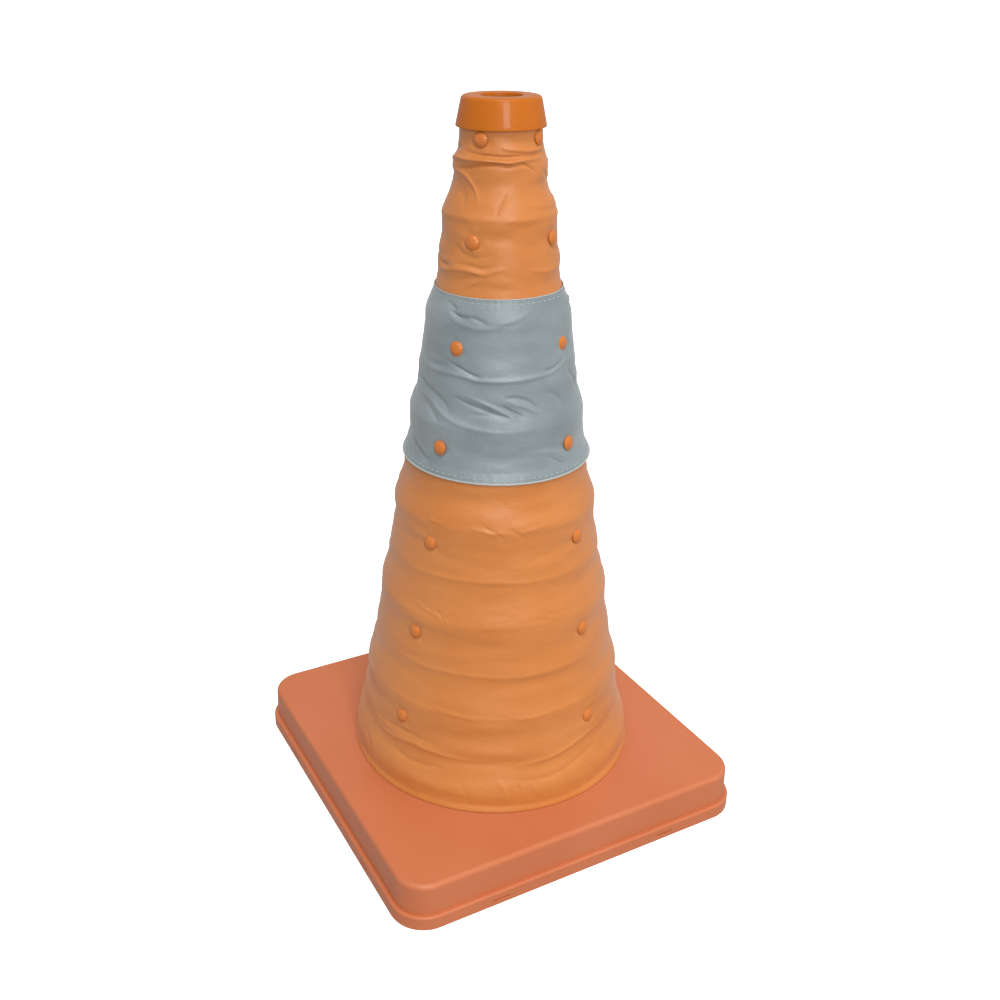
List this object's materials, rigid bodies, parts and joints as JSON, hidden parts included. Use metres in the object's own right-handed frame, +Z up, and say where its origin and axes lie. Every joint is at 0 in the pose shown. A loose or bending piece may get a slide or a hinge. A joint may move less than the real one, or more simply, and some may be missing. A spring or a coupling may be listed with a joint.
{
  "type": "traffic cone",
  "caption": "Collapsible safety cone: telescoping tiers in a riveted fabric sleeve with a reflective band, a moulded cap with a round hole, and a square base.",
  "frame": {"origin": "middle of the base's underside, on the floor", "axes": "+Z up along the cone; X and Y along the base's sides"},
  "size_m": [0.246, 0.246, 0.45],
  "materials": {
    "base_orange": "satin moulded plastic",
    "ring_black": "moulded plastic",
    "tier_plastic": "moulded plastic",
    "rivet_orange": "moulded plastic",
    "sleeve_fabric": "coated woven fabric with a satin sheen",
    "band_fabric": "retroreflective coated fabric",
    "cap_orange": "glossy moulded plastic"
  },
  "bodies": {
    "base": {"base_cover": "base_orange", "base_plate": "base_orange", "sleeve_retaining_ring": "ring_black", "sleeve_skirt": "sleeve_fabric"},
    "tier_7": {"tier_7": "tier_plastic", "rivets_7": "rivet_orange", "sleeve_6_7": "sleeve_fabric"},
    "tier_6": {"tier_6": "tier_plastic", "rivets_6": "rivet_orange", "sleeve_5_6": "sleeve_fabric"},
    "tier_5": {"tier_5": "tier_plastic", "rivets_5": "rivet_orange", "sleeve_4_5": "sleeve_fabric", "band_lower": "band_fabric"},
    "tier_4": {"tier_4": "tier_plastic", "rivets_4": "rivet_orange", "sleeve_3_4": "sleeve_fabric", "band_middle": "band_fabric"},
    "tier_3": {"tier_3": "tier_plastic", "rivets_3": "rivet_orange", "sleeve_2_3": "sleeve_fabric", "band_upper": "band_fabric"},
    "tier_2": {"tier_2": "tier_plastic", "rivets_2": "rivet_orange", "sleeve_1_2": "sleeve_fabric"},
    "tier_1": {"tier_1": "tier_plastic", "rivets_1": "rivet_orange", "sleeve_top": "sleeve_fabric", "cap": "cap_orange"}
  },
  "joints": [
    {"name": "tier_7_slide", "type": "slide", "parent": "base", "child": "tier_7", "axis": [0, 0, 1], "range_m": [-0.0175, 0], "deforming": ["sleeve_skirt"]},
    {"name": "tier_6_slide", "type": "slide", "parent": "tier_7", "child": "tier_6", "axis": [0, 0, 1], "range_m": [-0.057, 0], "deforming": ["sleeve_6_7"]},
    {"name": "tier_5_slide", "type": "slide", "parent": "tier_6", "child": "tier_5", "axis": [0, 0, 1], "range_m": [-0.057, 0], "deforming": ["sleeve_5_6"]},
    {"name": "tier_4_slide", "type": "slide", "parent": "tier_5", "child": "tier_4", "axis": [0, 0, 1], "range_m": [-0.057, 0], "deforming": ["sleeve_4_5", "band_lower"]},
    {"name": "tier_3_slide", "type": "slide", "parent": "tier_4", "child": "tier_3", "axis": [0, 0, 1], "range_m": [-0.057, 0], "deforming": ["sleeve_3_4", "band_middle"]},
    {"name": "tier_2_slide", "type": "slide", "parent": "tier_3", "child": "tier_2", "axis": [0, 0, 1], "range_m": [-0.057, 0], "deforming": ["sleeve_2_3", "band_upper"]},
    {"name": "tier_1_slide", "type": "slide", "parent": "tier_2", "child": "tier_1", "axis": [0, 0, 1], "range_m": [-0.041, 0], "deforming": ["sleeve_1_2"]}
  ]
}
